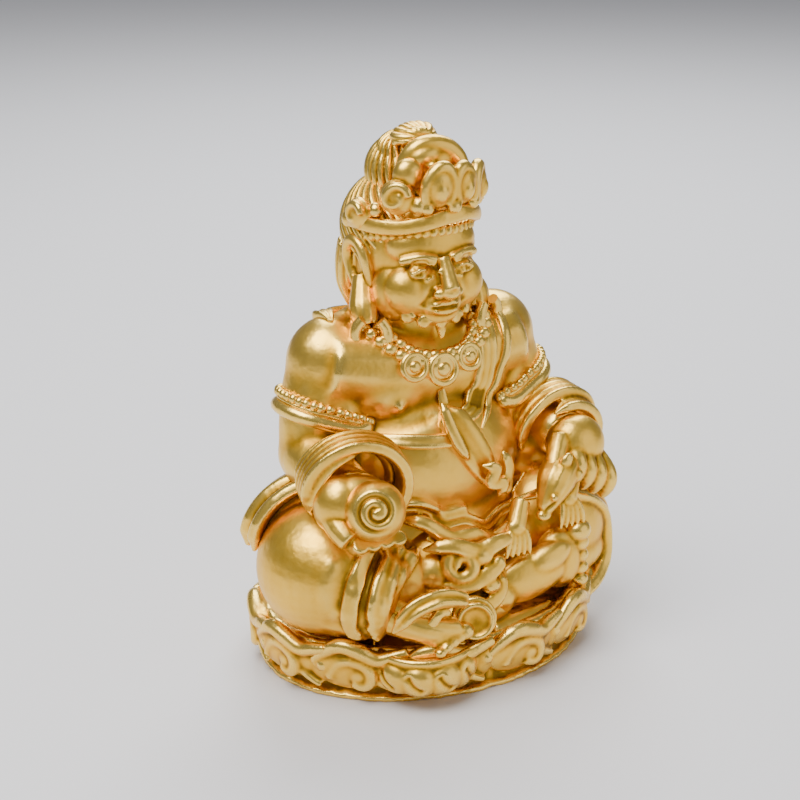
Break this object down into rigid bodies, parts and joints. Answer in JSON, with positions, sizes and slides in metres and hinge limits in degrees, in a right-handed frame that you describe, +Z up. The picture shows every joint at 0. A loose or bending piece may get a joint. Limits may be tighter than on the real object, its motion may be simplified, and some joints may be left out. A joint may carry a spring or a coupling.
{
  "type": "seated deity statuette",
  "caption": "Small gold-painted cast statuette of a seated, crowned, big-bellied wealth deity with a mongoose and a round fruit, on an oval lotus throne",
  "frame": {"origin": "centre of the oval resting face under the lotus throne", "axes": "+Z up through the crown; the figure faces -Y; its left hand, with the mongoose, is on the +X side and its right hand, with the fruit, on the -X side"},
  "size_m": [0.0748, 0.0563, 0.1],
  "materials": {
    "gold_paint": "satin metallic gold paint over a cast body, with fine pits and duller, greenish recesses"
  },
  "bodies": {
    "root": {"armlet_beads": "gold_paint", "back_scarf": "gold_paint", "beard_curls": "gold_paint", "chest_band": "gold_paint", "conch_shell": "gold_paint", "crown_band": "gold_paint", "crown_leaf_far_left": "gold_paint", "crown_leaf_far_right": "gold_paint", "crown_leaf_front": "gold_paint", "crown_leaf_left": "gold_paint", "crown_leaf_right": "gold_paint", "crown_scroll": "gold_paint", "finial": "gold_paint", "footrest_lotus": "gold_paint", "fruit": "gold_paint", "hair_bun": "gold_paint", "hair_cap": "gold_paint", "head": "gold_paint", "inner_necklace": "gold_paint", "lap_cloth": "gold_paint", "left_arm": "gold_paint", "left_armlet": "gold_paint", "left_ear": "gold_paint", "left_earring": "gold_paint", "left_foot": "gold_paint", "left_hand": "gold_paint", "left_scarf_loop": "gold_paint", "left_scarf_tail": "gold_paint", "left_trouser_leg": "gold_paint", "lotus_throne": "gold_paint", "medallions": "gold_paint", "mongoose": "gold_paint", "nape_locks": "gold_paint", "outer_necklace": "gold_paint", "right_arm": "gold_paint", "right_armlet": "gold_paint", "right_ear": "gold_paint", "right_earring": "gold_paint", "right_foot": "gold_paint", "right_hand": "gold_paint", "right_scarf_loop": "gold_paint", "right_scarf_tail": "gold_paint", "right_trouser_leg": "gold_paint", "sash_tail": "gold_paint", "shoulder_sash": "gold_paint", "throne_petal_01": "gold_paint", "throne_petal_02": "gold_paint", "throne_petal_03": "gold_paint", "throne_petal_04": "gold_paint", "throne_petal_05": "gold_paint", "throne_petal_06": "gold_paint", "throne_petal_07": "gold_paint", "throne_petal_08": "gold_paint", "throne_petal_09": "gold_paint", "throne_petal_10": "gold_paint", "throne_petal_11": "gold_paint", "throne_petal_12": "gold_paint", "torso": "gold_paint", "waist_hem": "gold_paint"}
  },
  "joints": []
}
